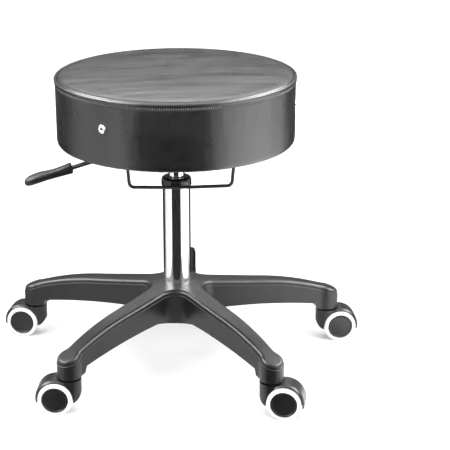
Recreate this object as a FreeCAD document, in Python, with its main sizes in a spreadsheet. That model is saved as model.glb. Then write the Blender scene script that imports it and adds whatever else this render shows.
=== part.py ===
"""Adjustable swivel stool: a round upholstered seat on a gas lift and a five-leg castor base.

Millimetres. +Z is up, the origin is on the floor under the column, and one leg points along +Y.
Each castor is drawn with its stem on its own Z axis and its wheels trailing along -X, then placed.
"""
import FreeCAD, Part
import math
import os
import re
import Sketcher

V = FreeCAD.Vector

# ---------------------------------------------------------------- driving sizes
SIZES = {
    # castors
    "wheel_radius": 29.5, "wheel_outer": 24.5, "tread_depth": 6.8, "wheel_lead": 6.5, "axle_radius": 3,
    "axle_boss": 6, "hood_gap": 1.5, "hood_wall": 3.7, "hood_half": 22, "web_half": 6,
    "neck_radius": 20.8, "neck_drop": 3.5, "hood_round": 8, "hood_tip_drop": 6, "hood_front": 6,
    "stem_radius": 5.5, "spindle_radius": 4, "stem_height": 24, "snap_depth": 30,
    "run_clearance": 0.05, "side_clearance": 0.6,
    # star base
    "stem_circle": 292, "root_half": 23, "leg_half": 15.2, "boss_radius": 20.5, "boss_gap": 0.8,
    "hub_waist": 54, "hub_bottom": 86, "hub_top": 152, "leg_underside": 94, "leg_wall": 3.6, "roof_wall": 5,
    "cap_step": 1.4, "cap_drop": 8, "cap_round": 6, "ledge_round": 0.9, "blend_radius": 20,
    "shoulder_top": 137, "shoulder_reach": 150, "leg_end_top": 96, "leg_top_radius": 510,
    "arch_radius": 1100, "arch_rise": 13, "rib_wall": 3,
    # gas lift
    "tube_radius": 25, "tube_wall": 1.5, "tube_top": 334, "tube_bottom": 80, "tube_taper": 1,
    "collar_proud": 2, "collar_height": 16.7, "collar_lap": 2, "collar_round": 6.5, "liner_length": 80,
    "cylinder_radius": 14, "cylinder_wall": 1.5, "cylinder_top": 403, "rod_radius": 5,
    "rod_tail_radius": 4, "race_gap": 2, "race_height": 3, "ball_radius": 3, "ball_circle": 13,
    "clip_wall": 1.3, "damper_height": 14, "damper_wall": 11, "piston_height": 14, "piston_level": 310,
    # mechanism under the seat
    "seat_yaw": 4.5, "socket_wall": 5, "taper_length": 35, "plate_wall": 3,
    "plate_half_x": 85, "plate_front": 88, "plate_back": 70, "plate_shift": 6, "plate_corner": 14,
    "ear_width": 20, "flange_drop": 16, "channel_half": 30, "channel_bottom": 381, "channel_length": 62,
    "bolt_spread_x": 62, "bolt_spread_y": 52, "bolt_radius": 3, "bolt_head": 3.6, "nut_wall": 1.2,
    "nut_flange": 6, "nut_flange_wall": 1.5, "button_radius": 3, "button_rise": 5.5, "pivot_reach": 32,
    "pivot_radius": 3,
    # side lever and front bar
    "lever_radius": 4, "lever_bend": 38, "lever_tip": 270.7, "lever_slope": 17.1, "grip_length": 90.3,
    "grip_width": 24, "grip_thick": 15, "grip_round": 3.5, "bar_radius": 3, "bar_half_low": 88.4,
    "bar_flare": 5, "bar_level": 353.5, "bar_sag": 2, "bar_reach": 78, "bar_bend": 9,
    # seat
    "seat_radius": 209.5, "seat_bottom": 422.5, "seat_top": 537.6, "cover_wall": 1.6,
    "hem_width": 28, "lining_wall": 0.8, "board_wall": 12, "seat_round": 6, "vent_radius": 7.5,
    "vent_level": 482.8, "vent_angle": -121.9, "vent_rise": 1.6, "vent_depth": 14,
}

# Sizes that follow from the driving ones.
FORMULAS = {
    "axle_z": "wheel_radius",
    "trail": "(wheel_radius - wheel_lead)",
    "bay_radius": "(wheel_radius + hood_gap)",
    "hood_radius": "(bay_radius + hood_wall)",
    "boss_bottom": "(2 * wheel_radius + hood_gap + hood_wall + boss_gap)",
    "neck_top": "(boss_bottom - neck_drop)",
    "hood_tip": "(axle_z - hood_tip_drop)",
    "wheel_inner": "(web_half + side_clearance)",
    "hub_face": "(wheel_radius - tread_depth)",
    "tube_bore": "(tube_radius - tube_wall)",
    "bore_taper": "(tube_taper / (hub_top - tube_bottom))",
    "collar_radius": "(tube_radius + collar_proud)",
    "race_radius": "(tube_bore - race_gap)",
    "race_low": "(tube_bottom + 4)",
    "race_high": "(race_low + race_height + 2 * ball_radius - 2)",
    "damper_low": "(race_high + race_height)",
    "cylinder_bottom": "(damper_low + damper_height + 2)",
    "cylinder_bore": "(cylinder_radius - cylinder_wall)",
    "taper_start": "(cylinder_top - taper_length)",
    "cone_top_radius": "(cylinder_radius - taper_length / 40)",
    "plate_top": "(seat_bottom + cover_wall - lining_wall)",
    "plate_bottom": "(plate_top - plate_wall)",
    "button_top": "(cylinder_top + button_rise)",
    "tongue_half": "(lever_radius * 0.7)",
    "lever_z": "(button_top + 0.3 + tongue_half)",
    "bar_pivot_z": "(plate_bottom - flange_drop / 2 + 1)",
    "board_low": "(seat_bottom + cover_wall)",
    "board_high": "(board_low + board_wall)",
    "nut_barrel": "(bolt_radius + nut_wall)",
    "nut_rim": "(bolt_radius + nut_flange)",
    "bolt_hole": "(bolt_radius + 0.2)",
    "hem_radius": "(seat_radius - hem_width)",
    "vent_barrel": "(vent_radius / 2)",
    "core_radius": "(seat_radius - cover_wall)",
    "core_top": "(seat_top - cover_wall)",
}

doc = FreeCAD.newDocument("swivel_stool")
sheet = doc.addObject("Spreadsheet::Sheet", "Sizes")
for row, (alias, number) in enumerate(SIZES.items(), start=1):
    sheet.set(f"A{row}", alias)
    sheet.set(f"B{row}", str(number))
    sheet.setAlias(f"B{row}", alias)
doc.recompute()


# ---------------------------------------------------------------- drawing helpers
def bound(text):
    """Write a formula in the words above as an expression on the sheet's cells."""
    text = str(text)
    while any(word in FORMULAS for word in re.findall(r"[a-z_]+", text)):
        text = re.sub(r"[a-z_]+", lambda found: FORMULAS.get(found.group(), found.group()), text)
    return re.sub(r"[a-z_]+", lambda found: "Sizes." + found.group()
                  if found.group() in SIZES else found.group(), text)


def value(text):
    return float(sheet.evalExpression(bound(text)))


def new_body(label):
    body = doc.addObject("PartDesign::Body", label)
    body.Label = label
    return body


def new_sketch(body, role, lift="0"):
    """A sketch on one of the body's own planes, moved along the plane's normal by lift."""
    sketch = body.newObject("Sketcher::SketchObject", body.Name + "_sketch")
    plane = next(item for item in body.Origin.OriginFeatures if item.Role == role)
    sketch.AttachmentSupport = [(plane, "")]
    sketch.MapMode = "FlatFace"
    sketch.setExpression(".AttachmentOffset.Base.z", bound(lift))
    return sketch


def fix_point(sketch, edge, end, corner):
    for kind, text in zip(("DistanceX", "DistanceY"), corner):
        index = sketch.addConstraint(Sketcher.Constraint(kind, -1, 1, edge, end, value(text)))
        sketch.setExpression(f"Constraints[{index}]", bound(text))


def outline(body, role, corners, lift="0"):
    """A closed outline. A corner is (x, y), or (x, y, radius) when an arc leads to the next corner.

    An arc with a positive radius has its centre on the left of the way from corner to corner.
    """
    sketch = new_sketch(body, role, lift)
    places = [V(value(corner[0]), value(corner[1]), 0) for corner in corners]
    for index, corner in enumerate(corners):
        here, there = places[index], places[(index + 1) % len(places)]
        if len(corner) == 2:
            sketch.addGeometry(Part.LineSegment(here, there))
            fix_point(sketch, index, 1, corner)
            continue
        radius = value(corner[2])
        chord = there - here
        left = V(-chord.y, chord.x, 0).normalize() * math.copysign(1, radius)
        centre = (here + there) * 0.5 + left * math.sqrt(max(radius ** 2 - chord.Length ** 2 / 4, 0))
        sketch.addGeometry(Part.Arc(here, centre - left * abs(radius), there))
        first, last = (1, 2) if radius > 0 else (2, 1)
        fix_point(sketch, index, first, corner)
        fix_point(sketch, index, last, corners[(index + 1) % len(corners)])
        bend = sketch.addConstraint(Sketcher.Constraint("Radius", index, abs(radius)))
        sketch.setExpression(f"Constraints[{bend}]", bound(f"abs({corner[2]})"))
    for index, corner in enumerate(corners):
        follower = (index + 1) % len(corners)
        if len(corner) == 2 and len(corners[follower]) == 2:
            sketch.addConstraint(Sketcher.Constraint("Coincident", index, 2, follower, 1))
        elif len(corner) == 2:
            start = 1 if value(corners[follower][2]) > 0 else 2
            sketch.addConstraint(Sketcher.Constraint("Coincident", index, 2, follower, start))
    return sketch


def rectangle(body, low_x, low_y, high_x, high_y, lift, role="XY_Plane"):
    return outline(body, role, [(low_x, low_y), (high_x, low_y), (high_x, high_y), (low_x, high_y)], lift)


def circles(body, role, rounds, lift="0"):
    """Full circles, each (x, y, radius)."""
    sketch = new_sketch(body, role, lift)
    for index, (x, y, radius) in enumerate(rounds):
        sketch.addGeometry(Part.Circle(V(value(x), value(y), 0), V(0, 0, 1), value(radius)))
        fix_point(sketch, index, 3, (x, y))
        size = sketch.addConstraint(Sketcher.Constraint("Radius", index, value(radius)))
        sketch.setExpression(f"Constraints[{size}]", bound(radius))
    return sketch


def feature(body, kind, sketch, **settings):
    made = body.newObject("PartDesign::" + kind, f"{body.Name}_{kind}")
    made.Profile = sketch
    for name, setting in settings.items():
        if isinstance(setting, str) and name in ("Length", "Angle"):
            made.setExpression(name, bound(setting))
        else:
            setattr(made, name, setting)
    sketch.Visibility = False
    return made


def pad(body, sketch, length, **settings):
    return feature(body, "Pad", sketch, Length=length, **settings)


def pocket(body, sketch, length, **settings):
    return feature(body, "Pocket", sketch, Length=length, **settings)


def spin(body, corners, kind="Revolution", plane="XZ_Plane"):
    """Turn a half section, drawn as (radius, distance along the axis), about the body's Z axis.

    On the XY plane the same section turns about the body's Y axis.
    """
    sketch = outline(body, plane, corners)
    return feature(body, kind, sketch, ReferenceAxis=(sketch, ["V_Axis"]), Angle="360")


def soften(body, chosen, radius):
    """Round the edges of the body so far that chosen(edge) picks out."""
    doc.recompute()
    sharp = body.Tip
    names = [f"Edge{index}" for index, edge in enumerate(sharp.Shape.Edges, start=1) if chosen(edge)]
    if not names:
        raise RuntimeError("no edge to round on " + body.Label)
    made = body.newObject("PartDesign::Fillet", body.Name + "_fillet")
    made.Base = (sharp, names)
    made.setExpression("Radius", bound(radius))
    return made


def place(thing, x="0", y="0", z="0", yaw="0"):
    for axis, text in zip("xyz", (x, y, z)):
        thing.setExpression(f".Placement.Base.{axis}", bound(text))
    thing.Placement.Rotation = FreeCAD.Rotation(V(0, 0, 1), 1)
    thing.setExpression(".Placement.Rotation.Angle", bound(yaw))
    return thing


NODES = []


def node(thing):
    NODES.append(thing)
    return thing


def boolean(kind, label, base, tool):
    made = doc.addObject("Part::" + kind, label)
    made.Label = label
    made.Base = base
    made.Tool = tool
    return made


def grouped(label, members):
    made = doc.addObject("Part::Compound", label)
    made.Label = label
    made.Links = members
    return node(made)


def disc(label, inner, outer, low, high):
    """A plain ring or washer."""
    body = new_body(label)
    spin(body, [(inner, low), (outer, low), (outer, high), (inner, high)])
    return body


# ---------------------------------------------------------------- star base
def star_outline(label, inset, low, high):
    """A prism of the five legs in plan: tapering legs, round ends and hollow corners between."""
    root, half = f"(root_half - {inset})", f"(leg_half - {inset})"
    waist, boss, blend = f"(hub_waist - {inset})", f"(boss_radius - {inset})", f"(blend_radius + {inset})"
    # A leg's side runs from root at the middle to half over the stem: slope is its fall, lean its length.
    slope = f"(({root} - {half}) / stem_circle)"
    lean = f"sqrt({slope}^2 + 1)"
    # The corner arc between two legs is tangent to both and leaves hub_waist of hub.
    far = f"(({waist} * {lean} - {root}) / ({lean} - sin(36 deg) - {slope} * cos(36 deg)))"
    corner = f"({far} - {waist})"
    root_x = f"({far} * cos(36 deg) - {corner} * {slope} / {lean})"
    root_y = f"({far} * sin(36 deg) - {corner} / {lean})"
    # The blend arc is tangent to the leg's side and to the boss, and meets the boss at an angle turn.
    turn = f"(atan({slope}) + asin(({half} / {lean} + {blend}) / ({boss} + {blend})))"
    side_x = f"(stem_circle - ({boss} + {blend}) * cos({turn}) - {blend} * {slope} / {lean})"
    side_y = f"(({boss} + {blend}) * sin({turn}) - {blend} / {lean})"
    meet_x, meet_y = f"(stem_circle - {boss} * cos({turn}))", f"({boss} * sin({turn}))"
    body = new_body(label)
    sector = [("0", "0"),
              (f"{waist} * cos(36 deg)", f"-({waist} * sin(36 deg))", f"-{corner}"),
              (root_x, f"-{root_y}"),
              (side_x, f"-{side_y}", f"-{blend}"),
              (meet_x, f"-{meet_y}", boss),
              (f"stem_circle + {boss}", "0", boss),
              (meet_x, meet_y, f"-{blend}"),
              (side_x, side_y),
              (root_x, root_y, f"-{corner}"),
              (f"{waist} * cos(36 deg)", f"{waist} * sin(36 deg)")]
    sketch = outline(body, "XY_Plane", sector, lift=low)
    solid = pad(body, sketch, f"({high}) - ({low})")
    doc.recompute()
    pattern = body.newObject("PartDesign::PolarPattern", label + "_five")
    pattern.Originals = [solid]
    pattern.Axis = (sketch, ["N_Axis"])
    pattern.Occurrences = 5
    body.Tip = pattern
    place(body, yaw="90")
    return body


def under_curve(label, drop):
    """Everything under the legs' top line, lowered by drop: the top falls straight, then in an arc."""
    body = new_body(label)
    end_x = "(stem_circle + boss_radius + 3)"
    spin(body, [("0", "0"), (end_x, "0"), (end_x, f"leg_end_top - {drop}", "leg_top_radius"),
                ("shoulder_reach", f"shoulder_top - {drop}"), ("tube_radius + 15", f"hub_top - 2 - {drop}"),
                ("tube_radius", f"hub_top - {drop}"), ("0", f"hub_top - {drop}")])
    return body


def base_floor():
    """The space under the base: flat at the hub, arched under the legs, deep at the end bosses."""
    body = new_body("space_under_base")
    outer = "(stem_circle + boss_radius + 5)"
    boss_inside = "(stem_circle - boss_radius + 4)"
    spin(body, [("0", "0"), (outer, "0"), (outer, "boss_bottom"), (boss_inside, "boss_bottom"),
                (f"{boss_inside} - 7", "boss_bottom + 2"),
                (f"{boss_inside} - 11", "boss_bottom + arch_rise", "arch_radius"),
                ("hub_waist + 30", "leg_underside"), ("hub_waist", "hub_bottom"), ("0", "hub_bottom")])
    return body


def leg_hollow():
    """The hollow under one leg, left open below and crossed by stiffening ribs."""
    cells = []
    start, finish, bays = "(tube_radius + 20)", "(stem_circle - boss_radius - leg_wall)", 4
    for bay in range(bays):
        low = f"({start} + ({finish} - {start}) * {bay} / {bays} + rib_wall / 2)"
        high = f"({start} + ({finish} - {start}) * {bay + 1} / {bays} - rib_wall / 2)"
        for side in ("1", "-1"):
            near, far = f"{side} * rib_wall / 2", f"{side} * (leg_half - leg_wall)"
            cell = new_body("leg_cell")
            plan = outline(cell, "XY_Plane", [(low, near), (high, near), (high, far), (low, far)],
                           lift="boss_bottom - 1")
            pad(cell, plan, "hub_top - boss_bottom")
            cells.append(cell)
    return cells


def rounded_top(label, block, lowest, radius):
    """Round the edges round the top of a star-shaped block, those that lie above a level."""
    doc.recompute()
    made = doc.addObject("Part::Fillet", label)
    made.Base = block
    size = value(radius)
    made.Edges = [(index, size, size) for index, edge in enumerate(block.Shape.Edges, start=1)
                  if edge.BoundBox.ZMin > value(lowest) and not is_upright(edge)]
    return made


def make_star_base():
    """A skirt with a narrower cap on it, both star-shaped in plan, hollow and ribbed from below."""
    low, high = "boss_bottom - 5", "hub_top + 5"
    skirt = boolean("Common", "skirt", star_outline("skirt_plan", "0", low, high),
                    under_curve("skirt_top", "cap_drop"))
    cap = boolean("Common", "cap_block", star_outline("cap_plan", "cap_step", low, high),
                  under_curve("cap_top", "0"))
    whole = boolean("Fuse", "base_block",
                    rounded_top("ledge", skirt, "leg_end_top - cap_drop - 12", "ledge_round"),
                    rounded_top("cap", cap, "leg_end_top - 12", "cap_round"))
    hollowed = boolean("Cut", "base_shell", whole, base_floor())
    roof = under_curve("hollow_roof", "roof_wall")
    cells = doc.addObject("Part::Compound", "leg_cells")
    cells.Links = leg_hollow()
    turned = []
    for leg in range(5):
        copy = doc.addObject("Part::Compound", "leg_cells_turned")
        copy.Links = [cells]
        place(copy, yaw=f"90 + 72 * {leg}")
        turned.append(copy)
    every = doc.addObject("Part::Compound", "all_cells")
    every.Links = turned
    ribbed = boolean("Cut", "ribbed_base", hollowed, boolean("Common", "cell_space", every, roof))
    bore = new_body("base_bores")
    spin(bore, [("0", "0"), ("tube_radius - bore_taper * hub_top", "0"), ("tube_radius", "hub_top"),
                ("tube_radius", "hub_top + 10"), ("0", "hub_top + 10")])
    sockets = []
    for leg in range(5):
        socket = disc("stem_socket", "0", "stem_radius", "0", "boss_bottom + stem_height + 3")
        place(socket, x=f"stem_circle * cos({90 + 72 * leg} deg)",
              y=f"stem_circle * sin({90 + 72 * leg} deg)")
        sockets.append(socket)
    holes = doc.addObject("Part::Compound", "base_holes")
    holes.Links = [bore] + sockets
    return node(boolean("Cut", "star_base", ribbed, holes))


def is_upright(edge):
    first, last = edge.Vertexes[0].Point, edge.Vertexes[-1].Point
    return (first - last).Length > 1e-6 and abs((first - last).normalize().z) > 0.95


# ---------------------------------------------------------------- castors
CASTORS = {"rear": (90, 251), "rear_left": (162, 172.3), "front_left": (234, 179.6),
           "front_right": (306, -7.2), "rear_right": (18, 8.3)}


def at_castor(thing, name):
    """Stand a castor's piece under its leg, wheels trailing along the castor's heading."""
    leg, heading = CASTORS[name]
    return place(thing, x=f"stem_circle * cos({leg} deg)", y=f"stem_circle * sin({leg} deg)",
                 yaw=f"{heading} - 180")


def at_axle(thing, name, turn=0):
    """Centre a piece on a castor's axle, its own Y axis along the axle."""
    leg, heading = CASTORS[name]
    return place(thing, x=f"stem_circle * cos({leg} deg) + trail * cos({heading} deg)",
                 y=f"stem_circle * sin({leg} deg) + trail * sin({heading} deg)", z="axle_z",
                 yaw=f"{heading} - 180 + {turn}")


def make_stem():
    """A steel stem: plain spindle with a snap groove below, flange, grip groove above."""
    body = new_body("stem")
    tip, groove, seat = "neck_top - snap_depth - 4", "neck_top - snap_depth", "neck_top + 0.5"
    grip_low, grip_high, top = "boss_bottom + 5", "boss_bottom + 15", "boss_bottom + stem_height"
    spin(body, [("0", tip), ("spindle_radius - 1", tip), ("spindle_radius", f"{tip} + 1"),
                ("spindle_radius", groove), ("spindle_radius - 0.8", groove),
                ("spindle_radius - 0.8", f"{groove} + 2.4"), ("spindle_radius", f"{groove} + 2.4"),
                ("spindle_radius", seat), ("stem_radius + 3.5", seat),
                ("stem_radius + 3.5", f"{seat} + 1.6"), ("stem_radius", f"{seat} + 1.6"),
                ("stem_radius", grip_low), ("stem_radius - 0.7", grip_low),
                ("stem_radius - 0.7", grip_high), ("stem_radius", grip_high),
                ("stem_radius", f"{top} - 1.5"), ("stem_radius - 1.5", top), ("0", top)])
    return body


def make_grip_ring():
    """A split spring ring in the stem's upper groove."""
    body = new_body("grip_ring")
    low, high = "boss_bottom + 5.5", "boss_bottom + 14.5"
    spin(body, [("stem_radius - 0.7", low), ("stem_radius", low), ("stem_radius", high),
                ("stem_radius - 0.7", high)])
    slot = outline(body, "XY_Plane", [("0", "-0.8"), ("stem_radius + 1", "-0.8"),
                                      ("stem_radius + 1", "0.8"), ("0", "0.8")], lift="boss_bottom")
    pocket(body, slot, "20", Reversed=True)
    return body


def make_housing(name):
    """Hood over both wheels, round neck for the stem and a web between the wheels for the axle."""
    body = new_body("castor_housing_" + name)
    back, boss = "(-trail - hood_radius - 5)", "(axle_radius + axle_boss)"
    rounded = "(-trail - hood_radius + hood_round)"
    section = outline(body, "XY_Plane", [
        ("-trail", "-hood_half"), (rounded, "-hood_half", "-hood_round"),
        ("-trail - hood_radius", "-hood_half + hood_round"),
        ("-trail - hood_radius", "hood_half - hood_round", "-hood_round"),
        (rounded, "hood_half"), ("-trail", "hood_half")], lift="axle_z")
    feature(body, "Revolution", section, ReferenceAxis=(section, ["Edge6"]), Angle="360")
    below = outline(body, "XZ_Plane", [
        (back, "-hood_radius"), ("neck_radius", "-hood_radius"), ("neck_radius", "hood_tip"),
        (f"-trail + {boss}", "hood_tip", f"-sqrt({boss}^2 + hood_tip_drop^2)"),
        (f"-trail - {boss}", "hood_tip"), (back, "hood_tip")])
    pocket(body, below, "4 * hood_half", Midplane=True)
    front = rectangle(body, "-hood_front", "0", "hood_radius", "3 * wheel_radius", "0", role="XZ_Plane")
    pocket(body, front, "4 * hood_half", Midplane=True)
    neck = circles(body, "XY_Plane", [("0", "0", "neck_radius")], lift="hood_tip")
    pad(body, neck, "neck_top - hood_tip")
    # The neck's lower front sweeps back to the end of the wheel bay.
    beak_top, beak_end = "(hood_tip + 16)", "(-trail + sqrt(bay_radius^2 - hood_tip_drop^2) + 1)"
    beak = outline(body, "XZ_Plane", [
        ("neck_radius + 2", "hood_tip - 2"), ("neck_radius + 2", beak_top),
        ("neck_radius", beak_top, "-18"), (beak_end, "hood_tip"), (beak_end, "hood_tip - 2")])
    pocket(body, beak, "4 * hood_half", Midplane=True)
    for side in (1, -1):
        bay = circles(body, "XZ_Plane", [("-trail", "axle_z", "bay_radius")], lift=f"{side} * web_half")
        pocket(body, bay, "hood_half + 5", Reversed=side > 0)
    recess = circles(body, "XY_Plane", [("0", "0", "boss_radius + 1")], lift="neck_top")
    pocket(body, recess, "20", Reversed=True)
    axle_hole = circles(body, "XZ_Plane", [("-trail", "axle_z", "axle_radius")])
    pocket(body, axle_hole, "4 * hood_half", Midplane=True)
    groove, bottom = "(neck_top - snap_depth)", "(neck_top - snap_depth - 5)"
    bore, ridge = "(spindle_radius + run_clearance)", "(spindle_radius + run_clearance - 0.75)"
    spin(body, [("0", bottom), (bore, bottom), (bore, f"{groove} + 0.3"), (ridge, f"{groove} + 0.3"),
                (ridge, f"{groove} + 2.1"), (bore, f"{groove} + 2.1"), (bore, "neck_top - 1"),
                ("spindle_radius + 1", "neck_top"), ("0", "neck_top")], kind="Groove")
    return body


def make_wheel_core(label):
    """Hub, web and rim of a wheel, closed on its outer face by a shallow dished disc."""
    body = new_body(label)
    bore, face, rim = "(axle_radius + run_clearance)", "(hub_face - 0.9)", "(hub_face - 2.2)"
    spin(body, [(bore, "wheel_inner"), ("axle_radius + 4", "wheel_inner"),
                ("axle_radius + 4", "wheel_outer - 5"), (rim, "wheel_outer - 5"),
                (rim, "wheel_inner + 1"), ("hub_face", "wheel_inner + 1"),
                ("hub_face", "wheel_outer - 2"), (face, "wheel_outer - 0.2"),
                (f"{face} - 0.8", "wheel_outer"), (f"{face} - 1.8", "wheel_outer - 0.2"),
                (f"{face} - 2.6", "wheel_outer - 0.9"), ("0", "wheel_outer - 0.5"),
                ("0", "wheel_outer - 3"), (bore, "wheel_outer - 3")], plane="XY_Plane")
    return body


def make_tread(label):
    """The soft ring round a wheel core: flat side, a fine step, then a rounded outer shoulder."""
    body = new_body(label)
    spin(body, [("hub_face", "wheel_inner + 1"), ("wheel_radius - 1.5", "wheel_inner + 1"),
                ("wheel_radius", "wheel_inner + 2.5"), ("wheel_radius", "wheel_outer - 4", "2.6"),
                ("wheel_radius - 2.2", "wheel_outer - 1.5"), ("wheel_radius - 2.5", "wheel_outer - 0.8"),
                ("wheel_radius - 3.3", "wheel_outer - 0.4"), ("hub_face + 0.6", "wheel_outer - 0.7"),
                ("hub_face", "wheel_outer - 2")], plane="XY_Plane")
    return body


def make_castors():
    stems, rings = [], []
    for name in CASTORS:
        stems.append(at_castor(make_stem(), name))
        rings.append(at_castor(make_grip_ring(), name))
        node(at_castor(make_housing(name), name))
        axle = new_body("castor_axle_" + name)
        reach = "(wheel_outer - 3.5)"
        spin(axle, [("0", f"-{reach}"), ("axle_radius", f"-{reach}"), ("axle_radius", reach), ("0", reach)],
             plane="XY_Plane")
        node(at_axle(axle, name))
        for side, turn in (("left", 0), ("right", 180)):
            node(at_axle(make_wheel_core(f"{side}_wheel_core_{name}"), name, turn))
            node(at_axle(make_tread(f"{side}_wheel_tread_{name}"), name, turn))
    grouped("castor_stems", stems)
    grouped("stem_grip_rings", rings)


# ---------------------------------------------------------------- gas lift
def make_column_tube():
    """Steel tube with a taper that wedges in the hub and an end plate under the bearing."""
    body = new_body("column_tube")
    low_radius, hole = "(tube_radius - tube_taper)", "rod_tail_radius + 2"
    spin(body, [(hole, "tube_bottom"), (low_radius, "tube_bottom"), ("tube_radius", "hub_top"),
                ("tube_radius", "tube_top"), ("tube_bore", "tube_top"), ("tube_bore", "hub_top"),
                (f"{low_radius} - tube_wall", "race_low"), (hole, "race_low")])
    return node(body)


def make_column_bushing():
    """Plastic guide: a long liner in the tube and a rounded collar over the tube's top."""
    body = new_body("column_bushing")
    bore, foot = "(cylinder_radius + run_clearance)", "(tube_top - liner_length)"
    brim, crown = "(tube_top - collar_lap)", "(tube_top - collar_lap + collar_height)"
    spin(body, [(bore, foot), ("tube_bore", foot), ("tube_bore", "tube_top"), ("tube_radius", "tube_top"),
                ("tube_radius", brim), ("collar_radius - 1.5", brim), ("collar_radius", f"{brim} + 1.5"),
                ("collar_radius", f"{crown} - collar_round", "collar_round"),
                ("collar_radius - collar_round", crown), (f"{bore} + 3", crown), (bore, f"{crown} - 2.5")])
    return node(body)


def race(label, low, groove_z, bore):
    body = disc(label, bore, "race_radius", low, f"{low} + race_height")
    groove = new_sketch(body, "XZ_Plane")
    radius = "(ball_radius + run_clearance)"
    groove.addGeometry(Part.Circle(V(value("ball_circle"), value(groove_z), 0), V(0, 0, 1), value(radius)))
    fix_point(groove, 0, 3, ("ball_circle", groove_z))
    size = groove.addConstraint(Sketcher.Constraint("Radius", 0, value(radius)))
    groove.setExpression(f"Constraints[{size}]", bound(radius))
    doc.recompute()
    feature(body, "Groove", groove, ReferenceAxis=(groove, ["V_Axis"]), Angle="360")
    return node(body)


def make_bearing():
    middle = "(race_low + race_height + ball_radius - 1)"
    race("bearing_lower_race", "race_low", middle, "rod_tail_radius + 1")
    race("bearing_upper_race", "race_high", middle, "rod_tail_radius")
    balls, count = [], 10
    for index in range(count):
        ball = doc.addObject("Part::Sphere", "ball")
        ball.setExpression("Radius", bound("ball_radius"))
        angle = 360 / count * index
        balls.append(place(ball, x=f"ball_circle * cos({angle} deg)", y=f"ball_circle * sin({angle} deg)",
                           z=middle))
    grouped("bearing_balls", balls)


def make_lift():
    """Piston rod with its fittings, the cylinder that slides over it, and the valve in its top."""
    rod = new_body("piston_rod")
    tail, clip, waist = "(tube_bottom - 7)", "(tube_bottom - 0.5 - clip_wall)", "(rod_tail_radius - 0.8)"
    piston_low, piston_high = "(piston_level - piston_height / 2)", "(piston_level + piston_height / 2)"
    top = f"({piston_high} + 3)"
    spin(rod, [("0", tail), ("rod_tail_radius - 0.8", tail), ("rod_tail_radius", f"{tail} + 0.8"),
               ("rod_tail_radius", clip), (waist, clip), (waist, f"{clip} + clip_wall"),
               ("rod_tail_radius", f"{clip} + clip_wall"), ("rod_tail_radius", "damper_low"),
               ("rod_radius", "damper_low"), ("rod_radius", top), ("0", top)])
    node(rod)
    node(disc("rod_clip", waist, "rod_tail_radius + 4", clip, f"{clip} + clip_wall"))
    node(disc("rubber_damper", "rod_radius", "rod_radius + damper_wall", "damper_low",
              "damper_low + damper_height"))
    node(disc("piston_head", "rod_radius", "cylinder_bore - run_clearance", piston_low, piston_high))
    node(disc("rod_guide", "rod_radius + run_clearance", "cylinder_bore", "cylinder_bottom + 1",
              "cylinder_bottom + 22"))
    cylinder = new_body("gas_cylinder")
    valve_radius = "(cylinder_bore - 2)"
    spin(cylinder, [("cylinder_bore", "cylinder_bottom"), ("cylinder_radius - 0.5", "cylinder_bottom"),
                    ("cylinder_radius", "cylinder_bottom + 1"), ("cylinder_radius", "taper_start"),
                    ("cone_top_radius", "cylinder_top"), ("button_radius + 2", "cylinder_top"),
                    ("button_radius + 2", "cylinder_top - 3"), (valve_radius, "cylinder_top - 3"),
                    (valve_radius, "taper_start"), ("cylinder_bore", "taper_start - 3")])
    node(cylinder)
    node(disc("valve_body", "button_radius + run_clearance", valve_radius, "taper_start",
              "cylinder_top - 3"))
    button = new_body("valve_button")
    flange = "(taper_start - 6)"
    spin(button, [("0", flange), ("button_radius + 2", flange), ("button_radius + 2", f"{flange} + 2"),
                  ("button_radius", f"{flange} + 2"), ("button_radius", "button_top - 1.2"),
                  ("button_radius - 1.2", "button_top"), ("0", "button_top")])
    node(button)


# ---------------------------------------------------------------- mechanism under the seat
BOLTS = [(x, y) for x in ("bolt_spread_x", "-bolt_spread_x") for y in ("bolt_spread_y", "-bolt_spread_y")]


def make_seat_plate():
    """Pressed plate with bolt holes, and two front ears turned down for the bar."""
    body = new_body("seat_plate")
    left, right = "(plate_shift - plate_half_x)", "(plate_shift + plate_half_x)"
    pad(body, rectangle(body, left, "-plate_front", right, "plate_back", "plate_bottom"), "plate_wall")
    soften(body, is_upright, "plate_corner")
    for low, high in ((left, f"{left} + plate_wall"), (f"{right} - plate_wall", right)):
        ear = rectangle(body, low, "-bar_reach - ear_width / 2", high, "-bar_reach + ear_width / 2",
                        "plate_bottom - flange_drop")
        pad(body, ear, "flange_drop + 1")
    pins = circles(body, "YZ_Plane", [("-bar_reach", "bar_pivot_z", "bar_radius + run_clearance")])
    pocket(body, pins, "4 * plate_half_x", Midplane=True)
    holes = circles(body, "XY_Plane", [(x, y, "bolt_hole") for x, y in BOLTS], lift="plate_bottom - 1")
    pocket(body, holes, "plate_wall + 2", Reversed=True)
    return node(place(body, yaw="seat_yaw"))


def make_channel():
    """Folded channel under the plate, open at both ends, that holds the socket and the lever's pin."""
    body = new_body("mechanism_channel")
    inner, floor = "(channel_half - plate_wall)", "(channel_bottom + plate_wall)"
    fold = outline(body, "YZ_Plane", [
        ("-channel_half + 3", "channel_bottom"), ("channel_half - 3", "channel_bottom", "3"),
        ("channel_half", "channel_bottom + 3"), ("channel_half", "plate_bottom"), (inner, "plate_bottom"),
        (inner, floor), (f"-{inner}", floor), (f"-{inner}", "plate_bottom"),
        ("-channel_half", "plate_bottom"), ("-channel_half", "channel_bottom + 3", "3")])
    pad(body, fold, "2 * channel_length", Midplane=True)
    hole = circles(body, "XY_Plane", [("0", "0", "cylinder_radius + socket_wall")], lift="channel_bottom - 1")
    pocket(body, hole, "plate_wall + 2", Reversed=True)
    pin = circles(body, "XZ_Plane", [("-pivot_reach", "lever_z", "pivot_radius")])
    pocket(body, pin, "4 * channel_half", Midplane=True)
    return node(place(body, yaw="seat_yaw"))


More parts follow.
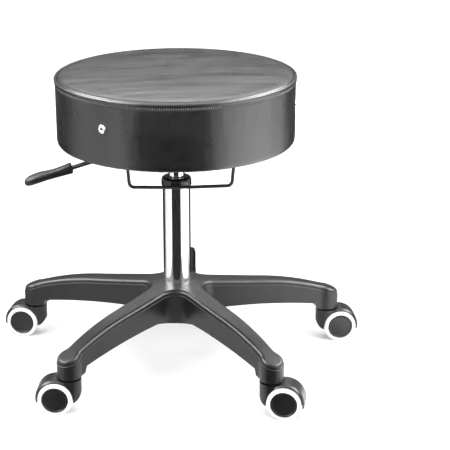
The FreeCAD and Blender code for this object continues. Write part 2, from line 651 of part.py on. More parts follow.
def make_mechanism():
    make_seat_plate()
    make_channel()
    socket = new_body("taper_socket")
    outer = "(cylinder_radius + socket_wall)"
    spin(socket, [("cylinder_radius", "taper_start"), (outer, "taper_start"), (outer, "cylinder_top"),
                  ("cone_top_radius", "cylinder_top")])
    node(socket)
    pin = new_body("lever_pivot_pin")
    end = "(channel_half + 2)"
    spin(pin, [("0", f"-{end}"), ("pivot_radius", f"-{end}"), ("pivot_radius", end), ("0", end)],
         plane="XY_Plane")
    node(place(pin, x="-pivot_reach * cos(seat_yaw * 1 deg)", y="-pivot_reach * sin(seat_yaw * 1 deg)",
               z="lever_z", yaw="seat_yaw"))
    bolts, nuts = [], []
    for x, y in BOLTS:
        spot = {"x": f"{x} * cos(seat_yaw * 1 deg) - {y} * sin(seat_yaw * 1 deg)",
                "y": f"{x} * sin(seat_yaw * 1 deg) + {y} * cos(seat_yaw * 1 deg)"}
        bolt = new_body("bolt")
        head = "(plate_bottom - bolt_head)"
        spin(bolt, [("0", head), ("bolt_radius + 2.2", head), ("bolt_radius + 3", f"{head} + 1"),
                    ("bolt_radius + 3", "plate_bottom"), ("bolt_radius", "plate_bottom"),
                    ("bolt_radius", "board_high - 1"), ("0", "board_high - 1")])
        bolts.append(place(bolt, **spot))
        nut = new_body("tee_nut")
        step = "(board_high - nut_flange_wall)"
        spin(nut, [("bolt_radius", "board_low + 2"), ("nut_barrel", "board_low + 2"), ("nut_barrel", step),
                   ("nut_rim", step), ("nut_rim", "board_high"), ("bolt_radius", "board_high")])
        nuts.append(place(nut, **spot))
    grouped("plate_bolts", bolts)
    grouped("board_tee_nuts", nuts)


def bent_rod(label, points, bends, radius):
    """A round rod along straight runs joined by tangent arcs, one bend radius for each inner point."""
    edges, here = [], points[0]
    for index, bend in enumerate(bends, start=1):
        before = (points[index - 1] - points[index]).normalize()
        after = (points[index + 1] - points[index]).normalize()
        half_turn = (math.pi - before.getAngle(after)) / 2
        reach = bend * math.tan(half_turn)
        start, finish = points[index] + before * reach, points[index] + after * reach
        inward = (before + after).normalize()
        middle = points[index] + inward * (bend / math.cos(half_turn) - bend)
        edges.append(Part.LineSegment(here, start).toShape())
        edges.append(Part.Arc(start, middle, finish).toShape())
        here = finish
    edges.append(Part.LineSegment(here, points[-1]).toShape())
    path = Part.Wire(edges)
    along = edges[0].Vertexes[1].Point - edges[0].Vertexes[0].Point
    section = Part.Wire([Part.Circle(points[0], along, radius).toShape()])
    made = doc.addObject("Part::Feature", label)
    made.Label = label
    made.Shape = path.makePipeShell([section], True, True)
    return made


def make_lever():
    """Side lever: a flat tongue over the gas lift's button, a pivot boss and a bent round rod."""
    level, bend, tip = value("lever_z"), value("lever_bend"), value("lever_tip")
    slope = math.tan(math.radians(value("lever_slope")))
    radius = value("lever_radius")
    # The rod is moulded into the grip for two thirds of its length.
    rod_end = tip - value("grip_length") * 0.3
    points = [V(12 - value("pivot_reach"), 0, level), V(-bend, 0, level),
              V(-rod_end, 0, level - (rod_end - bend) * slope)]
    rod = bent_rod("lever_bar", points, [radius * 5], radius)
    tongue = new_body("lever_tongue")
    flat = rectangle(tongue, "-pivot_reach - 6", "-1.5 * lever_radius", "button_radius + 4",
                     "1.5 * lever_radius", "lever_z - tongue_half")
    pad(tongue, flat, "2 * tongue_half")
    boss = circles(tongue, "XZ_Plane", [("-pivot_reach", "lever_z", "pivot_radius + 3.6")])
    pad(tongue, boss, "2 * (lever_radius + 4)", Midplane=True)
    joined = boolean("Fuse", "lever_blank", rod, tongue)
    eye = new_body("lever_eye")
    hole = circles(eye, "XZ_Plane", [("-pivot_reach", "lever_z", "pivot_radius + run_clearance")])
    pad(eye, hole, "4 * channel_half", Midplane=True)
    node(place(boolean("Cut", "lever_rod", joined, eye), yaw="seat_yaw"))
    make_grip(rod, level - (tip - bend) * slope)


def make_grip(rod, tip_z):
    """Paddle on the end of the lever: narrow at the rod, wide and flat with a round tip."""
    grip = new_body("grip_blank")
    half, collar, shoulder = "(grip_width / 2)", "(lever_radius + 4.5)", "grip_length - 35"
    blade = outline(grip, "XY_Plane", [
        ("grip_length", f"-{collar}"), ("grip_length", collar), (shoulder, half), (half, half, half),
        ("0", "0", half), (half, f"-{half}"), (shoulder, f"-{half}")], lift="-grip_thick / 2")
    pad(grip, blade, "grip_thick")
    soften(grip, lambda edge: not is_upright(edge), "grip_round")
    place(grip, x="-lever_tip", z=str(tip_z))
    grip.Placement.Rotation = FreeCAD.Rotation(V(0, 1, 0), 1)
    grip.setExpression(".Placement.Rotation.Angle", bound("-lever_slope"))
    node(place(boolean("Cut", "lever_grip", grip, rod), yaw="seat_yaw"))


def make_front_bar():
    """U-shaped wire bar, its two ends turned inwards through the plate's ears."""
    low, pivot, side = value("bar_level"), value("bar_pivot_z"), value("plate_shift")
    narrow = value("bar_half_low")
    wide = narrow + value("bar_flare")
    inner = value("plate_half_x") - value("plate_wall") - 5
    reach, bend = -value("bar_reach"), value("bar_bend")
    half = [V(side - inner, reach, pivot), V(side - wide, reach, pivot), V(side - narrow, reach, low)]
    other = [V(2 * side - point.x, point.y, point.z) for point in reversed(half)]
    middle = V(side, reach, low - value("bar_sag"))
    tight, gentle = bend * 0.7, 1500
    bar = bent_rod("front_bar", half + [middle] + other, [tight, bend, gentle, bend, tight],
                   value("bar_radius"))
    node(place(bar, yaw="seat_yaw"))


# ---------------------------------------------------------------- seat
VENTS = 3


def vent_cutter(depth):
    """Radial bores for the vent eyelets."""
    cutters = []
    for index in range(VENTS):
        cutter = new_body("vent_bore")
        spin(cutter, [("0", f"-{depth}"), ("vent_barrel", f"-{depth}"), ("vent_barrel", "5"), ("0", "5")],
             plane="XY_Plane")
        cutters.append(at_vent(cutter, index))
    group = doc.addObject("Part::Compound", "vent_bores")
    group.Links = cutters
    return group


def at_vent(thing, index):
    angle = f"(vent_angle + {360 * index / VENTS:g})"
    return place(thing, x=f"seat_radius * cos({angle} * 1 deg)", y=f"seat_radius * sin({angle} * 1 deg)",
                 z="vent_level", yaw=f"{angle} - 90")


def make_board():
    """Plywood board with its tee nuts' pockets, and the lining stapled under it."""
    body = new_body("seat_board")
    spin(body, [("0", "board_low"), ("core_radius", "board_low"), ("core_radius", "board_high"),
                ("0", "board_high")])
    barrels = circles(body, "XY_Plane", [(x, y, "nut_barrel") for x, y in BOLTS], lift="board_low - 1")
    pocket(body, barrels, "board_wall + 2", Reversed=True)
    flanges = circles(body, "XY_Plane", [(x, y, "nut_rim") for x, y in BOLTS],
                      lift="board_high - nut_flange_wall")
    pocket(body, flanges, "5", Reversed=True)
    node(place(body, yaw="seat_yaw"))
    lining = disc("seat_lining", "0", "hem_radius - 0.5", "plate_top", "board_low")
    holes = circles(lining, "XY_Plane", [(x, y, "bolt_hole") for x, y in BOLTS], lift="plate_top - 1")
    pocket(lining, holes, "lining_wall + 2", Reversed=True)
    node(place(lining, yaw="seat_yaw"))


def make_cushion():
    """Foam block in a cover that turns under the board, with metal vent eyelets in the side."""
    foam = new_body("foam_block")
    curve = "(seat_round - cover_wall)"
    spin(foam, [("0", "board_high"), ("core_radius", "board_high"),
                ("core_radius", f"core_top - {curve}", curve), (f"core_radius - {curve}", "core_top"),
                ("0", "core_top")])
    node(boolean("Cut", "seat_foam", foam, vent_cutter("(vent_depth + 4)")))
    cover = new_body("cover_shell")
    spin(cover, [("hem_radius", "seat_bottom"), ("seat_radius - 2", "seat_bottom", "2"),
                 ("seat_radius", "seat_bottom + 2"), ("seat_radius", "seat_top - seat_round", "seat_round"),
                 ("seat_radius - seat_round", "seat_top"), ("0", "seat_top"), ("0", "core_top"),
                 (f"core_radius - {curve}", "core_top", f"-{curve}"), ("core_radius", f"core_top - {curve}"),
                 ("core_radius", "board_low"), ("hem_radius", "board_low")])
    node(boolean("Cut", "seat_cover", cover, vent_cutter("5")))
    eyelets, bore = [], "(vent_radius * 0.3)"
    for index in range(VENTS):
        eyelet = new_body("eyelet")
        spin(eyelet, [(bore, "-vent_depth"), ("vent_barrel", "-vent_depth"), ("vent_barrel", "0"),
                      ("vent_radius", "0"), ("vent_radius", "0.3", "2.2"),
                      ("vent_barrel + 1.2", "vent_rise"), (f"{bore} + 0.8", "vent_rise", "0.8"),
                      (bore, "vent_rise - 0.8")], plane="XY_Plane")
        eyelets.append(at_vent(eyelet, index))
    grouped("vent_eyelets", eyelets)


# ---------------------------------------------------------------- build, check and write
make_star_base()
make_castors()
make_column_tube()
make_column_bushing()
make_bearing()
make_lift()
make_mechanism()
make_lever()
make_front_bar()
make_board()
make_cushion()
doc.recompute()

for thing in doc.Objects:
    if "Invalid" in thing.State or "Error" in thing.State:
        raise RuntimeError(f"{thing.Label} did not build: {thing.State}")
for thing in NODES:
    if thing.Shape.isNull() or not thing.Shape.isValid() or thing.Shape.Volume <= 0:
        raise RuntimeError(f"{thing.Label} has no valid solid")

os.makedirs("parts", exist_ok=True)
for thing in NODES:
    thing.Shape.exportStep(f"parts/{thing.Label}.step")
print(len(NODES), "nodes written")
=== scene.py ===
"""Adjustable swivel stool: upholstery, finishes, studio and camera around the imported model. Metres."""
import bmesh
import bpy
import math
from mathutils import Matrix, Vector, noise
from mathutils.bvhtree import BVHTree
from mathutils.interpolate import poly_3d_calc


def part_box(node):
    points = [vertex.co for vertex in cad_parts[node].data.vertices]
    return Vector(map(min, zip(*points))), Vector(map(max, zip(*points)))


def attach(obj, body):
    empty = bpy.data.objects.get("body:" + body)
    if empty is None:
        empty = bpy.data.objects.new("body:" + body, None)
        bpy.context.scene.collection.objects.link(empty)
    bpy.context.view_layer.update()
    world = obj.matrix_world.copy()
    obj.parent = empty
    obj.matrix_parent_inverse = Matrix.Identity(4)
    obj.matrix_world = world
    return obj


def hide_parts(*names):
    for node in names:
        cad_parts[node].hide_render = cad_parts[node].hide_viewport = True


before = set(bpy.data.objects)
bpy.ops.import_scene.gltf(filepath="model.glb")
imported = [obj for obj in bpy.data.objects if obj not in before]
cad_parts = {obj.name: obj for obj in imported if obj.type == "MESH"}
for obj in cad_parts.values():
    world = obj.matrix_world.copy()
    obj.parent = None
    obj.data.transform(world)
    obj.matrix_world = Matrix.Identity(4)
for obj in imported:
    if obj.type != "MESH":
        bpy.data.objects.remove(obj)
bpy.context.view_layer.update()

MM = 0.001
TAU = 2 * math.pi
FLOOR_HALF = 6.0
FLAG_LIFT = 0.001        # flags lie this far above the floor


# ---------------------------------------------------------------- small tools
def srgb(text):
    """A hex colour as people write it, turned to the linear values that a shader takes."""
    channels = [int(text[i:i + 2], 16) / 255 for i in (1, 3, 5)]
    linear = [c / 12.92 if c <= 0.04045 else ((c + 0.055) / 1.055) ** 2.4 for c in channels]
    return (*linear, 1.0)


def put(tree, kind, inputs=None, **settings):
    """Add a node with its settings; inputs are numbers, colours or another node's output."""
    node = tree.nodes.new(kind)
    for name, setting in settings.items():
        setattr(node, name, setting)
    for name, source in (inputs or {}).items():
        if isinstance(source, bpy.types.NodeSocket):
            tree.links.new(source, node.inputs[name])
        else:
            node.inputs[name].default_value = source
    return node


def start_material(name, **constants):
    """A material whose shader's constant sockets are set directly; returns its tree, shader and place."""
    material = bpy.data.materials.new(name)
    material.use_nodes = True
    tree = material.node_tree
    shader = tree.nodes["Principled BSDF"]
    for socket, setting in constants.items():
        shader.inputs[socket.replace("_", " ")].default_value = setting
    place = put(tree, "ShaderNodeTexCoord").outputs["Object"]
    return material, tree, shader, place


def mottle(tree, place, size_mm, dark, light, detail=4.0):
    """Two close shades mixed by a cloudy pattern with features about size_mm across."""
    cloud = put(tree, "ShaderNodeTexNoise",
                {"Vector": place, "Scale": 1 / (size_mm * MM), "Detail": detail})
    spread = put(tree, "ShaderNodeMapRange",
                 {"Value": cloud.outputs["Fac"], "From Min": 0.35, "From Max": 0.65})
    mix = put(tree, "ShaderNodeMix", {"Factor": spread.outputs["Result"]}, data_type="RGBA")
    mix.inputs[6].default_value = srgb(dark)
    mix.inputs[7].default_value = srgb(light)
    return mix.outputs[2]


def vary(tree, place, size_mm, low, high):
    """A number that wanders between low and high over features about size_mm across."""
    cloud = put(tree, "ShaderNodeTexNoise",
                {"Vector": place, "Scale": 1 / (size_mm * MM), "Detail": 3.0})
    spread = put(tree, "ShaderNodeMapRange",
                 {"Value": cloud.outputs["Fac"], "From Min": 0.3, "From Max": 0.7,
                  "To Min": low, "To Max": high})
    return spread.outputs["Result"]


def relief(tree, shader, layers):
    """Stack bumps on a shader; each layer is (height socket, depth in millimetres, strength)."""
    normal = None
    for height, depth_mm, strength in layers:
        bump = put(tree, "ShaderNodeBump",
                   {"Height": height, "Distance": depth_mm * MM, "Strength": strength})
        if normal is not None:
            tree.links.new(normal, bump.inputs["Normal"])
        normal = bump.outputs["Normal"]
    tree.links.new(normal, shader.inputs["Normal"])


def feed(tree, shader, **sockets):
    """Link patterns to the shader's sockets, with _ standing for a space."""
    for name, source in sockets.items():
        tree.links.new(source, shader.inputs[name.replace("_", " ")])


def smooth_step(value, low, high):
    """0 below low, 1 above high and an even curve between."""
    share = min(1.0, max(0.0, (value - low) / (high - low)))
    return share * share * (3 - 2 * share)


def bell(distance, width):
    """1 at no distance, falling away on both sides over about the width."""
    return math.exp(-(distance / width) ** 2)


def finished(mesh_in_work, name, finish):
    """Turn a bmesh into a piece of the scene that wears one finish."""
    mesh = bpy.data.meshes.new(name)
    mesh_in_work.to_mesh(mesh)
    mesh_in_work.free()
    mesh.materials.append(finish)
    mesh.polygons.foreach_set("use_smooth", [True] * len(mesh.polygons))
    piece = bpy.data.objects.new(name, mesh)
    bpy.context.scene.collection.objects.link(piece)
    return piece


# ---------------------------------------------------------------- finishes
def embossed_vinyl():
    """Black artificial leather, embossed by a roller: pebbled grain with a soft, slightly greasy sheen."""
    material, tree, shader, place = start_material("embossed black vinyl", IOR=1.54, Specular_IOR_Level=0.6,
                                                   Sheen_Weight=0.03, Sheen_Roughness=0.4)
    feed(tree, shader, Base_Color=mottle(tree, place, 90, "#0e0e0f", "#151516"),
         Roughness=vary(tree, place, 45, 0.26, 0.34))
    # The roller's pebbles are 1.8 mm across; the finer wrinkles between them 0.7 mm.
    pebble = put(tree, "ShaderNodeTexNoise", {"Vector": place, "Scale": 1 / (1.8 * MM), "Detail": 1.0})
    crease = put(tree, "ShaderNodeTexNoise", {"Vector": place, "Scale": 1 / (0.7 * MM), "Detail": 2.0})
    # Long soft ripples of the stretched skin, 22 mm across the pull and five times as long.
    pull = put(tree, "ShaderNodeMapping",
               {"Vector": place, "Rotation": (0, 0, math.radians(-14)), "Scale": (0.2, 1, 1)})
    ripple = put(tree, "ShaderNodeTexNoise",
                 {"Vector": pull.outputs["Vector"], "Scale": 1 / (22 * MM), "Detail": 2.0})
    relief(tree, shader, [(ripple.outputs["Fac"], 1.1, 0.35), (pebble.outputs["Fac"], 0.2, 0.3),
                          (crease.outputs["Fac"], 0.06, 0.25)])
    return material


def bonded_thread():
    """Bonded nylon sewing thread: two plies, dark grey with a dry lustre."""
    material, tree, shader, place = start_material("bonded nylon thread", IOR=1.53, Sheen_Weight=0.3)
    feed(tree, shader, Base_Color=mottle(tree, place, 1.5, "#626266", "#929297"),
         Roughness=vary(tree, place, 2, 0.5, 0.65))
    ply = put(tree, "ShaderNodeTexWave", {"Vector": place, "Scale": 1 / (1.2 * MM), "Distortion": 1.0},
              bands_direction="DIAGONAL")
    relief(tree, shader, [(ply.outputs["Fac"], 0.1, 0.4)])
    return material


def chrome_plate(name, rough_low, rough_high):
    """Bright decorative plating on steel: nearly mirror clear, with faint polishing haze."""
    material, tree, shader, place = start_material(name, Metallic=1.0)
    feed(tree, shader, Base_Color=mottle(tree, place, 40, "#dfe0e2", "#ececee"),
         Roughness=vary(tree, place, 18, rough_low, rough_high))
    haze = put(tree, "ShaderNodeTexNoise", {"Vector": place, "Scale": 1 / (6 * MM), "Detail": 3.0})
    relief(tree, shader, [(haze.outputs["Fac"], 0.02, 0.15)])
    return material


def ground_steel():
    """Hard-chromed and ground gas-lift cylinder: fine rings left by the grinding wheel round the axis."""
    material, tree, shader, place = start_material("ground hard-chromed steel", Metallic=1.0, Anisotropic=0.3)
    long = put(tree, "ShaderNodeMapping", {"Vector": place, "Scale": (1, 1, 60)})
    rings = put(tree, "ShaderNodeTexNoise",
                {"Vector": long.outputs["Vector"], "Scale": 1 / (40 * MM), "Detail": 5.0})
    rough = put(tree, "ShaderNodeMapRange", {"Value": rings.outputs["Fac"], "To Min": 0.1, "To Max": 0.22})
    feed(tree, shader, Base_Color=mottle(tree, place, 30, "#d3d4d7", "#e2e3e6"),
         Roughness=rough.outputs["Result"])
    relief(tree, shader, [(rings.outputs["Fac"], 0.01, 0.2)])
    return material


def moulded_nylon(name, dark, light, rough_low, rough_high, grain_mm, depth):
    """Glass-filled nylon from a spark-eroded mould: an even fine grain that breaks the light softly."""
    material, tree, shader, place = start_material(name, IOR=1.53, Specular_IOR_Level=0.33)
    feed(tree, shader, Base_Color=mottle(tree, place, 45, dark, light),
         Roughness=vary(tree, place, 22, rough_low, rough_high))
    grain = put(tree, "ShaderNodeTexNoise",
                {"Vector": place, "Scale": 1 / (grain_mm * MM), "Detail": 3.0, "Roughness": 0.6})
    flow = put(tree, "ShaderNodeTexNoise", {"Vector": place, "Scale": 1 / (30 * MM), "Detail": 1.0})
    relief(tree, shader, [(flow.outputs["Fac"], 0.3, 0.2), (grain.outputs["Fac"], depth, 0.5)])
    return material


def stippled_grip():
    """Soft-touch polypropylene: stipple 1.8 mm apart on top where the fingers lie, its dots painted lighter
    grey there as a painted highlight of the light from above; plain satin below.
    """
    material, tree, shader, place = start_material("stippled black polypropylene", IOR=1.5,
                                                   Specular_IOR_Level=0.35)
    facing = put(tree, "ShaderNodeNewGeometry").outputs["Normal"]
    upward = put(tree, "ShaderNodeSeparateXYZ", {"Vector": facing}).outputs["Z"]
    top = put(tree, "ShaderNodeMapRange",
              {"Value": upward, "From Min": 0.15, "From Max": 0.6}).outputs["Result"]
    dots = put(tree, "ShaderNodeTexVoronoi", {"Vector": place, "Scale": 1 / (1.8 * MM), "Randomness": 0.45})
    bead = put(tree, "ShaderNodeMapRange",
               {"Value": dots.outputs["Distance"], "From Min": 0.15, "From Max": 0.5,
                "To Min": 1.0, "To Max": 0.0}).outputs["Result"]
    raised = put(tree, "ShaderNodeMath", {0: bead, 1: top}, operation="MULTIPLY").outputs["Value"]
    # Painted highlight: the raised dots on upward-facing faces are coloured a lighter grey, as if lit from
    # above.
    painted_dot_highlight = put(tree, "ShaderNodeMix", {"Factor": raised}, data_type="RGBA")
    tree.links.new(mottle(tree, place, 14, "#101011", "#181819"), painted_dot_highlight.inputs[6])
    painted_dot_highlight.inputs[7].default_value = srgb("#5c5c5e")
    feed(tree, shader, Base_Color=painted_dot_highlight.outputs[2], Roughness=vary(tree, place, 9, 0.3, 0.42))
    fine = put(tree, "ShaderNodeTexNoise", {"Vector": place, "Scale": 1 / (1.0 * MM), "Detail": 2.0})
    relief(tree, shader, [(raised, 0.5, 0.7), (fine.outputs["Fac"], 0.05, 0.4)])
    return material


def cast_urethane():
    """White cast polyurethane tyre: milky, soft gloss, with faint grey scuffs where it rolls."""
    material, tree, shader, place = start_material("white cast polyurethane", IOR=1.5, Subsurface_Weight=0.15,
                                                   Subsurface_Scale=0.004)
    feed(tree, shader, Base_Color=mottle(tree, place, 9, "#dcdcda", "#f2f2f0"),
         Roughness=vary(tree, place, 6, 0.38, 0.55))
    scuff = put(tree, "ShaderNodeTexNoise", {"Vector": place, "Scale": 1 / (1.8 * MM), "Detail": 4.0})
    relief(tree, shader, [(scuff.outputs["Fac"], 0.05, 0.3)])
    return material


def powder_coat():
    """Black powder coat on steel: satin with a slight orange peel."""
    material, tree, shader, place = start_material("black powder coat", IOR=1.5, Specular_IOR_Level=0.5)
    feed(tree, shader, Base_Color=mottle(tree, place, 20, "#151516", "#1d1d1f"),
         Roughness=vary(tree, place, 12, 0.3, 0.4))
    peel = put(tree, "ShaderNodeTexNoise", {"Vector": place, "Scale": 1 / (1.6 * MM), "Detail": 2.0})
    relief(tree, shader, [(peel.outputs["Fac"], 0.08, 0.35)])
    return material


def zinc_plate():
    """Bright zinc plate on pressed and turned steel: bluish grey, cloudy, a little dull."""
    material, tree, shader, place = start_material("bright zinc plate", Metallic=1.0)
    feed(tree, shader, Base_Color=mottle(tree, place, 5, "#a9acb0", "#c6c8cb"),
         Roughness=vary(tree, place, 4, 0.28, 0.42))
    spangle = put(tree, "ShaderNodeTexVoronoi", {"Vector": place, "Scale": 1 / (2.5 * MM)})
    relief(tree, shader, [(spangle.outputs["Distance"], 0.03, 0.2)])
    return material


def soft_rubber():
    """Moulded black rubber: dull, bloomed grey in patches."""
    material, tree, shader, place = start_material("moulded black rubber", IOR=1.52)
    feed(tree, shader, Base_Color=mottle(tree, place, 12, "#161616", "#232322"),
         Roughness=vary(tree, place, 8, 0.6, 0.8))
    grain = put(tree, "ShaderNodeTexNoise", {"Vector": place, "Scale": 1 / (0.9 * MM), "Detail": 3.0})
    relief(tree, shader, [(grain.outputs["Fac"], 0.08, 0.4)])
    return material


def spunbond_cloth():
    """Black spunbond lining: pressed fibres with a regular pattern of bonding points 2.4 mm apart."""
    material, tree, shader, place = start_material("black spunbond lining", IOR=1.45, Sheen_Weight=0.25)
    feed(tree, shader, Base_Color=mottle(tree, place, 7, "#19191a", "#2a2a2c", detail=6.0),
         Roughness=vary(tree, place, 5, 0.75, 0.92))
    points = put(tree, "ShaderNodeTexVoronoi", {"Vector": place, "Scale": 1 / (2.4 * MM), "Randomness": 0.1})
    fibre = put(tree, "ShaderNodeTexNoise",
                {"Vector": place, "Scale": 1 / (0.7 * MM), "Detail": 5.0, "Distortion": 1.5})
    relief(tree, shader, [(points.outputs["Distance"], 0.3, 0.5), (fibre.outputs["Fac"], 0.15, 0.5)])
    return material


def birch_plywood():
    """Sanded birch plywood: pale, with long grain on the faces."""
    material, tree, shader, place = start_material("sanded birch plywood", IOR=1.5)
    long = put(tree, "ShaderNodeMapping", {"Vector": place, "Scale": (0.08, 1, 1)})
    grain = put(tree, "ShaderNodeTexNoise",
                {"Vector": long.outputs["Vector"], "Scale": 1 / (3 * MM), "Detail": 6.0})
    mix = put(tree, "ShaderNodeMix", {"Factor": grain.outputs["Fac"]}, data_type="RGBA")
    mix.inputs[6].default_value = srgb("#b98f5e")
    mix.inputs[7].default_value = srgb("#dcbf90")
    feed(tree, shader, Base_Color=mix.outputs[2], Roughness=vary(tree, place, 10, 0.5, 0.65))
    relief(tree, shader, [(grain.outputs["Fac"], 0.1, 0.3)])
    return material


def open_foam():
    """Cream polyurethane foam with open cells 1.5 mm across."""
    material, tree, shader, place = start_material("open-cell polyurethane foam", IOR=1.4)
    feed(tree, shader, Base_Color=mottle(tree, place, 3, "#cdbb86", "#e6d9ae"),
         Roughness=vary(tree, place, 3, 0.85, 0.95))
    cells = put(tree, "ShaderNodeTexVoronoi", {"Vector": place, "Scale": 1 / (1.5 * MM)})
    relief(tree, shader, [(cells.outputs["Distance"], 0.6, 0.7)])
    return material


def studio_floor():
    """Pale seamless paper, barely uneven."""
    material, tree, shader, place = start_material("pale seamless paper", Specular_IOR_Level=0.2)
    feed(tree, shader, Base_Color=mottle(tree, place, 300, "#f6f6f5", "#fafafa"),
         Roughness=vary(tree, place, 200, 0.7, 0.8))
    return material


def black_velvet():
    """Flag cloth that swallows most light and thins out to net along its soft edges."""
    material, tree, shader, place = start_material("black velvet", Specular_IOR_Level=0.0)
    cover = put(tree, "ShaderNodeAttribute", attribute_name="cover").outputs["Fac"]
    feed(tree, shader, Base_Color=mottle(tree, place, 120, "#1c1c1c", "#282828"),
         Roughness=vary(tree, place, 50, 0.9, 1.0), Alpha=cover)
    return material


def bounce_board(name, glow_low, glow_high):
    """White reflector board, lit from behind to glow evenly, fading out along its soft edges."""
    material, tree, shader, place = start_material(name, Emission_Color=srgb("#ffffff"))
    cover = put(tree, "ShaderNodeAttribute", attribute_name="cover").outputs["Fac"]
    feed(tree, shader, Base_Color=mottle(tree, place, 400, "#f0f0f0", "#ffffff"),
         Emission_Strength=vary(tree, place, 400, glow_low, glow_high), Alpha=cover)
    return material


FINISH = {
    "floor": studio_floor(),
    "flag": black_velvet(),
    "bounce": bounce_board("white bounce board", 1.5, 2.1),
    "lamp": bounce_board("lamp diffuser", 15.0, 19.0),
    "vinyl": embossed_vinyl(),
    "thread": bonded_thread(),
    "tube chrome": chrome_plate("decorative chrome plate", 0.03, 0.07),
    "nickel": chrome_plate("polished nickel plate", 0.08, 0.16),
    "ground steel": ground_steel(),
    "base nylon": moulded_nylon("glass-filled black nylon", "#111112", "#18181a", 0.31, 0.41, 1.1, 0.1),
    "castor nylon": moulded_nylon("smooth black nylon", "#141415", "#1c1c1e", 0.28, 0.36, 1.4, 0.05),
    "collar": moulded_nylon("polished black acetal", "#131314", "#1a1a1c", 0.1, 0.16, 2.0, 0.02),
    "grip": stippled_grip(),
    "urethane": cast_urethane(),
    "powder coat": powder_coat(),
    "zinc": zinc_plate(),
    "rubber": soft_rubber(),
    "lining": spunbond_cloth(),
    "plywood": birch_plywood(),
    "foam": open_foam(),
}

# Which finish each kind of CAD piece wears, by a part of its name; the first that fits counts.
NODE_FINISH = [
    ("wheel_tread", "urethane"), ("wheel_core", "castor nylon"), ("castor_housing", "castor nylon"),
    ("castor_axle", "zinc"), ("castor_stems", "zinc"), ("stem_grip_rings", "zinc"),
    ("star_base", "base nylon"),
    ("column_tube", "tube chrome"), ("column_bushing", "collar"), ("gas_cylinder", "tube chrome"),
    ("piston_rod", "ground steel"), ("bearing", "zinc"), ("rod_clip", "zinc"), ("rod_guide", "castor nylon"),
    ("piston_head", "rubber"), ("rubber_damper", "rubber"), ("valve_body", "zinc"), ("valve_button", "zinc"),
    ("seat_plate", "powder coat"), ("mechanism_channel", "powder coat"), ("taper_socket", "powder coat"),
    ("lever_pivot_pin", "zinc"), ("lever_rod", "powder coat"), ("lever_grip", "grip"),
    ("front_bar", "powder coat"),
    ("plate_bolts", "zinc"), ("board_tee_nuts", "zinc"), ("seat_board", "plywood"), ("seat_lining", "lining"),
    ("seat_foam", "foam"), ("seat_cover", "vinyl"), ("vent_eyelets", "nickel"),
]


def dress_nodes():
    """Give every CAD node its finish."""
    for name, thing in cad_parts.items():
        finish = next(finish for part, finish in NODE_FINISH if part in name)
        thing.data.materials.clear()
        thing.data.materials.append(FINISH[finish])


# ---------------------------------------------------------------- studio and camera
def make_camera():
    """Long lens, a little above the seat, turned and tipped towards the column."""
    distance, height = 2.3924, 1.0989                   # from the column, and above the floor
    turn, tip, lean = math.radians(3.4), 0.339, 0.01    # round the column, downwards, and sideways
    data = bpy.data.cameras.new("camera")
    data.sensor_width = 36
    data.lens = 112.47
    data.shift_x = 0.107
    camera = bpy.data.objects.new("camera", data)
    spot = Matrix.Translation((distance * math.sin(turn), -distance * math.cos(turn), height))
    aim = Matrix.Rotation(turn, 4, "Z") @ Matrix.Rotation(math.pi / 2 - tip, 4, "X")
    camera.matrix_world = spot @ aim @ Matrix.Rotation(-lean, 4, "Z")
    bpy.context.scene.collection.objects.link(camera)
    bpy.context.scene.camera = camera


def soft_box(name, place, target, width, height, watts):
    """A rectangular area light aimed at a point."""
    light = bpy.data.lights.new(name, "AREA")
    light.shape = "RECTANGLE"
    light.size = width
    light.size_y = height
    light.energy = watts
    thing = bpy.data.objects.new(name, light)
    thing.location = place
    thing.rotation_euler = (Vector(target) - Vector(place)).to_track_quat("-Z", "Y").to_euler()
    bpy.context.scene.collection.objects.link(thing)


def reflection_card(name, finish, angles, near, far, soft, fade=(0.0, 0.0), most=1.0):
    """A flag or board seen only in glossy reflections: a sector between two rings round the column.

    near and far are the rings' (radius, height). The card's cover thins over soft degrees at both ends and
    over a share, fade, of its width at both rings. It is never more than most.
    """
    from_angle, to_angle = angles
    sweep = to_angle - from_angle
    steps, rows = 48, 12
    sheet = bmesh.new()
    inner, outer = Vector((near[0], 0, near[1])), Vector((far[0], 0, far[1]))
    line = [sheet.verts.new(inner.lerp(outer, row / rows)) for row in range(rows + 1)]
    edges = [sheet.edges.new(pair) for pair in zip(line, line[1:])]
    bmesh.ops.rotate(sheet, verts=line, matrix=Matrix.Rotation(math.radians(from_angle), 3, "Z"))
    bmesh.ops.spin(sheet, geom=line + edges, axis=(0, 0, 1), cent=(0, 0, 0),
                   angle=math.radians(sweep), steps=steps)
    cover = sheet.verts.layers.float.new("cover")
    width = math.dist(near, far)
    slack = 5       # degrees, so that the first edge isn't taken for a full turn
    for vertex in sheet.verts:
        place = math.hypot(vertex.co.x, vertex.co.y), vertex.co.z
        turn = (math.degrees(math.atan2(vertex.co.y, vertex.co.x)) - from_angle + slack) % 360 - slack
        share = math.dist(near, place) / width
        vertex[cover] = most * smooth_step(turn, 0, soft[0]) * smooth_step(sweep - turn, 0, soft[1])
        if fade[0]:
            vertex[cover] *= smooth_step(share, 0, fade[0])
        if fade[1]:
            vertex[cover] *= 1 - smooth_step(share, 1 - fade[1], 1)
    card = finished(sheet, name, FINISH[finish])
    card.visible_camera = False
    card.visible_diffuse = False
    card.visible_shadow = False


